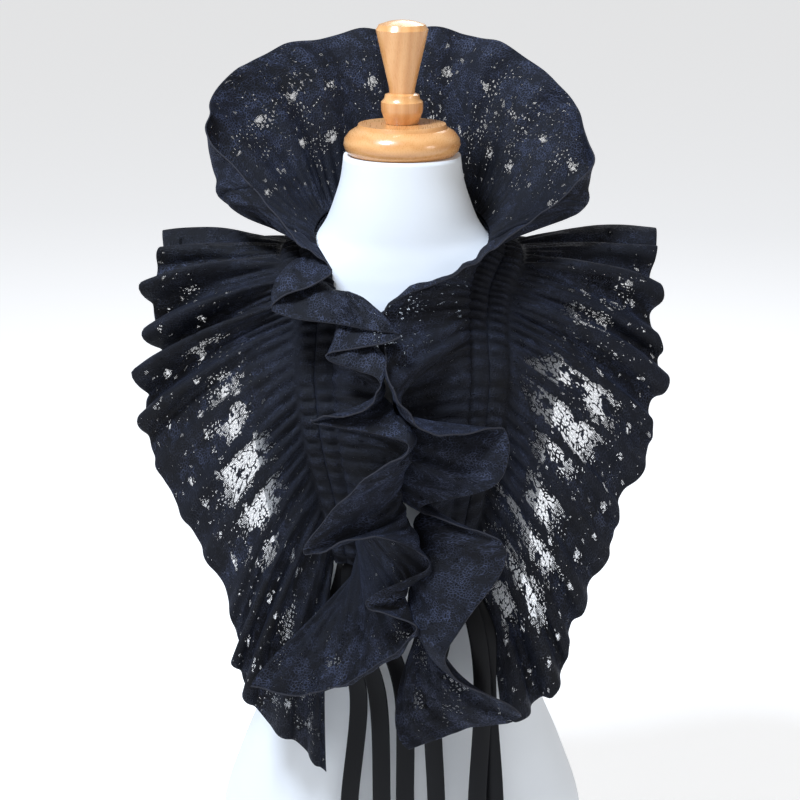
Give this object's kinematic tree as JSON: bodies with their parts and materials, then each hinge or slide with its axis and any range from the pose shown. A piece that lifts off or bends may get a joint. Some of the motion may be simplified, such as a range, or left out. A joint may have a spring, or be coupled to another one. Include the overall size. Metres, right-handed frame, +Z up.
{
  "type": "ruffled shrug on a dress form",
  "caption": "Lace shrug with a fan collar, gathered shoulder wings and front jabots, with ribbon ties, worn on a limbless dress form with a turned wooden neck cap.",
  "frame": {"origin": "middle of the dress form's flat foot", "axes": "+Z up along the form's axis, -Y out of the chest, +X to the viewer's right when the front is seen"},
  "size_m": [0.5244, 0.4071, 0.9171],
  "materials": {
    "jersey": "smooth white jersey over foam",
    "wood": "lacquered turned wood",
    "lace": "blue-black lace",
    "satin": "black satin ribbon"
  },
  "bodies": {
    "root": {"dress_form": "jersey", "neck_cap": "wood", "finial": "wood", "casing_left": "lace", "casing_back": "lace", "casing_right": "lace", "wing_left": "lace", "back_cape": "lace", "wing_right": "lace", "jabot_left": "lace", "collar": "lace", "jabot_right": "lace", "ribbon_1": "satin", "ribbon_2": "satin", "ribbon_3": "satin", "ribbon_4": "satin", "ribbon_5": "satin", "ribbon_6": "satin"}
  },
  "joints": []
}
